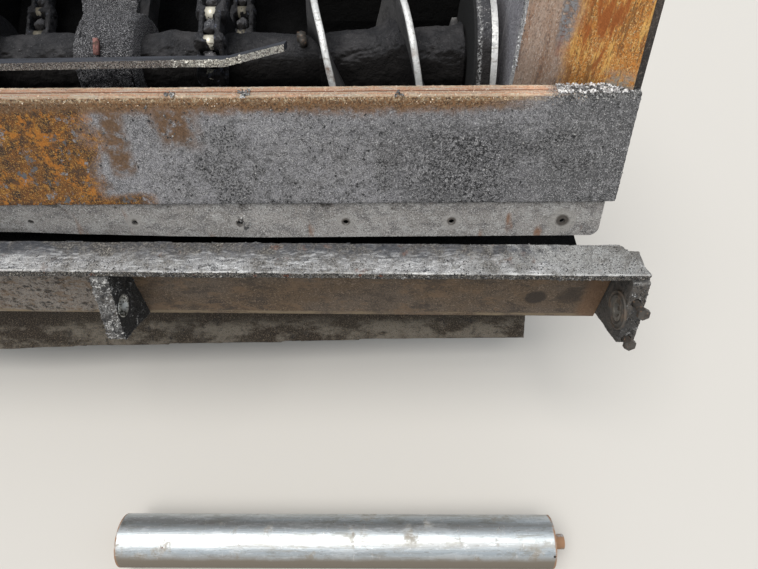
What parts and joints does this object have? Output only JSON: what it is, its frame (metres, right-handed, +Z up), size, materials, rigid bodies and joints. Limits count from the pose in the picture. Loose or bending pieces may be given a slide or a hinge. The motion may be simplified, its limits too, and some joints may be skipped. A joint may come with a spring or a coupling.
{
  "type": "receiving hopper front end of a material transfer vehicle",
  "caption": "Receiving hopper front of a material transfer vehicle: rusty apron, cross auger on the tail shaft of a drag slat conveyor, and a push-roller beam with its roller taken off.",
  "frame": {"origin": "centre of the four chassis bolt holes in the rear face of the bulkhead", "axes": "+X across the machine, to the right in the picture; +Y rearwards, into the chassis; +Z up"},
  "size_m": [2.6147, 1.7311, 1.45],
  "materials": {
    "rusty_apron": "rusted plate under dried asphalt dust",
    "dusty_strip": "bare plate, dusty",
    "crusted_sheet": "asphalt coated",
    "crusted_shaft": "asphalt coated",
    "frame_paint": "worn, dusty",
    "beam_steel": "worn bare steel",
    "brown_beam": "brown rust film",
    "spill_steel": "dusty plate",
    "roller_steel": "turned steel",
    "rusty_wall": "orange rust",
    "bearing_iron": "greasy casting",
    "worn_flight": "worn bright at the rim",
    "chain_steel": "dark, worn bright on the rollers",
    "ear_steel": "asphalt crusted",
    "bearing_steel": "greasy steel",
    "bolt_steel": "dark steel"
  },
  "bodies": {
    "hopper": {"apron_strip": "dusty_strip", "beam_back": "brown_beam", "beam_top": "beam_steel", "bearing_left": "bearing_steel", "bearing_right": "bearing_steel", "bulkhead": "frame_paint", "cap_bolts_left": "bolt_steel", "cap_bolts_right": "bolt_steel", "chain_left": "chain_steel", "chain_right": "chain_steel", "cross_tube": "crusted_shaft", "ear_centre": "ear_steel", "ear_left": "ear_steel", "ear_right": "ear_steel", "edge_bar_left": "beam_steel", "edge_bar_right": "beam_steel", "end_bearing_left": "bearing_iron", "end_bearing_right": "bearing_iron", "front_apron": "rusty_apron", "front_sheet": "crusted_sheet", "push_roller": "roller_steel", "rail_deck": "crusted_sheet", "rail_left": "frame_paint", "rail_right": "frame_paint", "rear_wall_left": "crusted_sheet", "rear_wall_right": "crusted_sheet", "saddle_left": "frame_paint", "saddle_right": "frame_paint", "shaft_hanger": "crusted_shaft", "slat_1": "chain_steel", "slat_2": "chain_steel", "slat_3": "chain_steel", "slat_4": "chain_steel", "spill_plate": "spill_steel", "trough_centre": "crusted_sheet", "trough_end_left": "crusted_sheet", "trough_end_right": "crusted_sheet", "trough_left": "crusted_sheet", "trough_right": "crusted_sheet", "tunnel_floor": "crusted_sheet", "tunnel_side_left": "crusted_sheet", "tunnel_side_right": "crusted_sheet", "wing_left": "rusty_wall", "wing_right": "rusty_wall"},
    "auger": {"tail_shaft": "crusted_shaft", "tail_wheel_left": "crusted_shaft", "tail_wheel_right": "crusted_shaft", "flight_left": "worn_flight", "flight_right": "worn_flight", "end_disc_left": "worn_flight", "end_disc_right": "worn_flight"}
  },
  "joints": [
    {"name": "auger_spin", "type": "hinge", "parent": "hopper", "child": "auger", "pos_m": [0, -0.65, 0.055], "axis": [1, 0, 0], "continuous": true}
  ]
}
